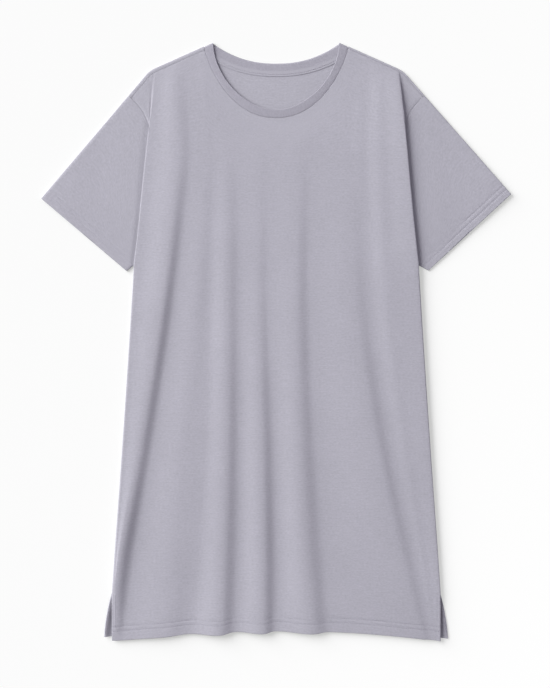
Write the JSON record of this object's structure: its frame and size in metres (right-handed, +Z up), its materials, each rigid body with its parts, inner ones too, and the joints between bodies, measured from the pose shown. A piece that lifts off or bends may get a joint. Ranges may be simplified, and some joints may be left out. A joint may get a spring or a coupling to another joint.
{
  "type": "t-shirt dress",
  "caption": "Short-sleeved A-line t-shirt dress with a round ribbed neck and side slits, laid out flat and face up in soft folds.",
  "frame": {"origin": "centre of the footprint, on the surface that the dress lies on", "axes": "+Y towards the neck, +X to the wearer's left, +Z up through the front"},
  "size_m": [0.7513, 0.9558, 0.0087],
  "materials": {
    "jersey": "matt cotton jersey, dusty lavender grey",
    "rib": "matt folded rib, dusty lavender grey",
    "tape": "matt jersey tape, dusty lavender grey"
  },
  "bodies": {
    "root": {"back": "jersey", "front": "jersey", "sleeve_left": "jersey", "sleeve_right": "jersey", "neckband": "rib", "neck_tape": "tape"}
  },
  "joints": []
}
